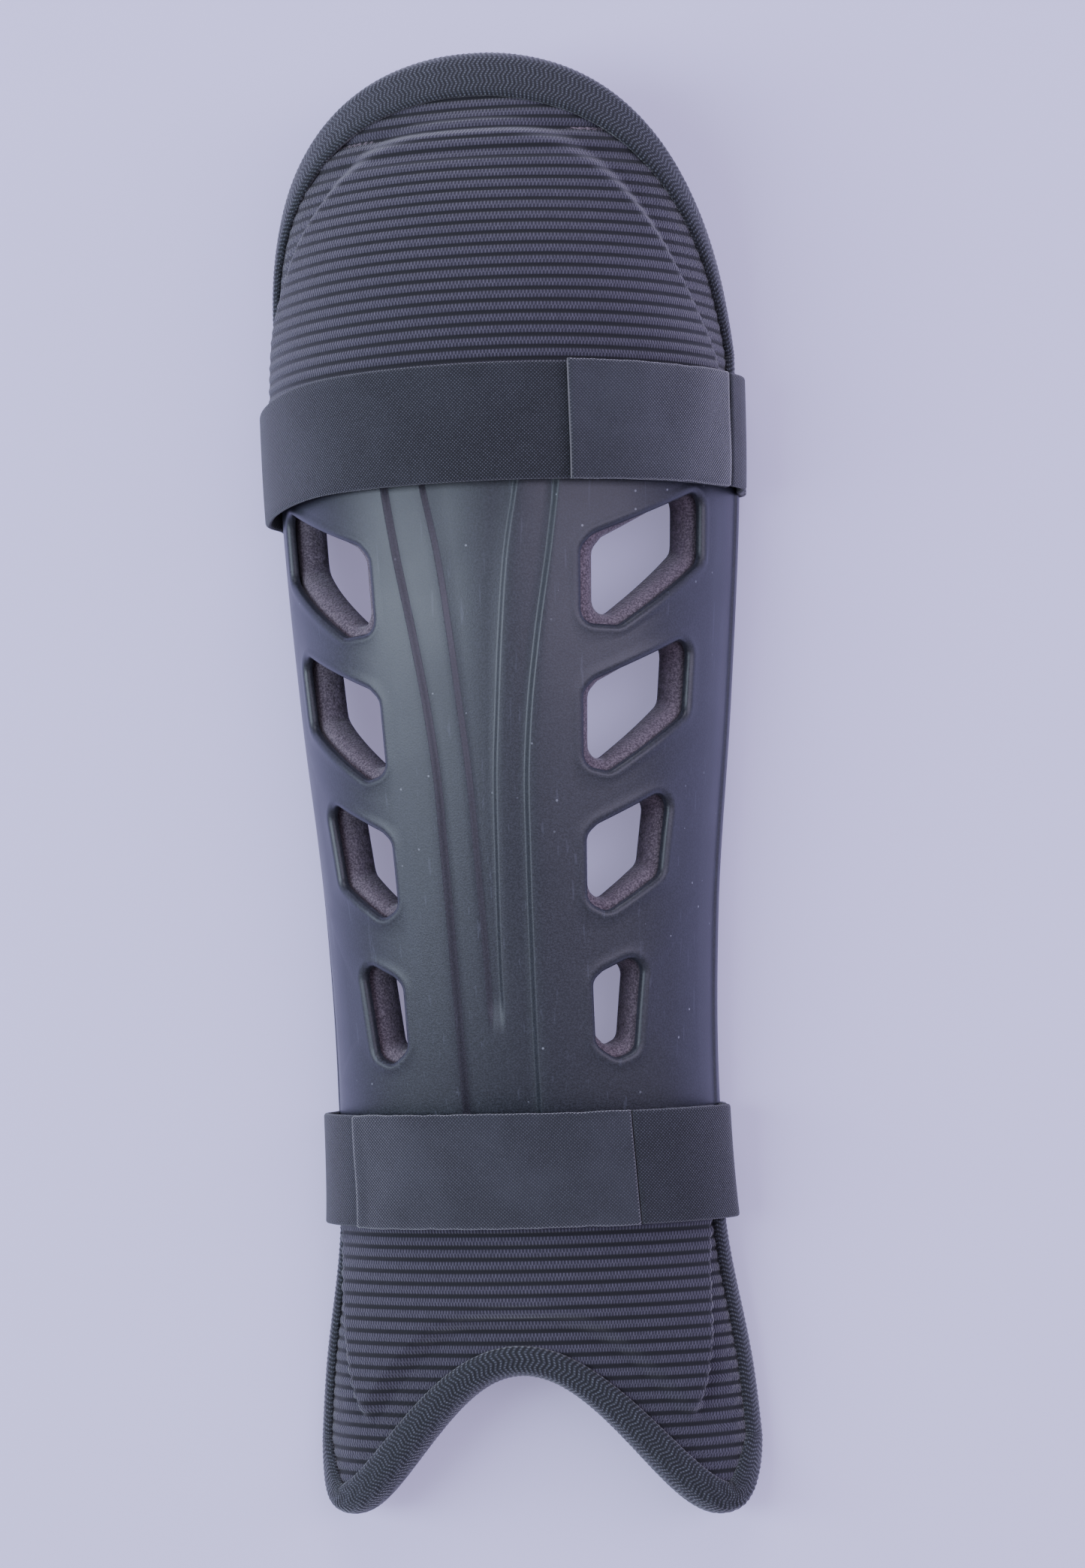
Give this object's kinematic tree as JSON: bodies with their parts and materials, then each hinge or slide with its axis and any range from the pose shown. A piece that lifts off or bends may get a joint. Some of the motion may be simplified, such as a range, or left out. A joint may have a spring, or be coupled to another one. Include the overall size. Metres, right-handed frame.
{
  "type": "field hockey shin guard",
  "caption": "Field hockey shin guard: a long curved plastic shell with side vents on a foam liner, ribbed cloth covers at knee and ankle, soft edge bindings and elastic strap loops.",
  "frame": {"origin": "the middle of the whole guard's foot: it lies open side down, on the flat back spans of its straps", "axes": "+Y runs along the shin from the ankle end to the knee end, +Z points out through the front of the shell, and +X points to the side where the straps' ends come over the front"},
  "size_m": [0.1108, 0.3226, 0.0614],
  "materials": {
    "shell": "fine-grained matte black moulded shell",
    "liner": "dark mauve-grey closed-cell foam with a fleece back",
    "upper_cover": "black ribbed cloth",
    "lower_cover": "black ribbed cloth",
    "upper_binding": "black ribbed edge tape",
    "lower_binding": "black ribbed edge tape",
    "upper_strap": "black woven elastic webbing",
    "upper_strap_tab": "black webbing with a hook patch beneath",
    "lower_strap": "black woven elastic webbing",
    "lower_strap_tab": "black webbing with a hook patch beneath"
  },
  "bodies": {
    "root": {"shell": "shell", "liner": "liner", "upper_cover": "upper_cover", "lower_cover": "lower_cover", "upper_binding": "upper_binding", "lower_binding": "lower_binding", "upper_strap": "upper_strap", "upper_strap_tab": "upper_strap_tab", "lower_strap": "lower_strap", "lower_strap_tab": "lower_strap_tab"}
  },
  "joints": []
}
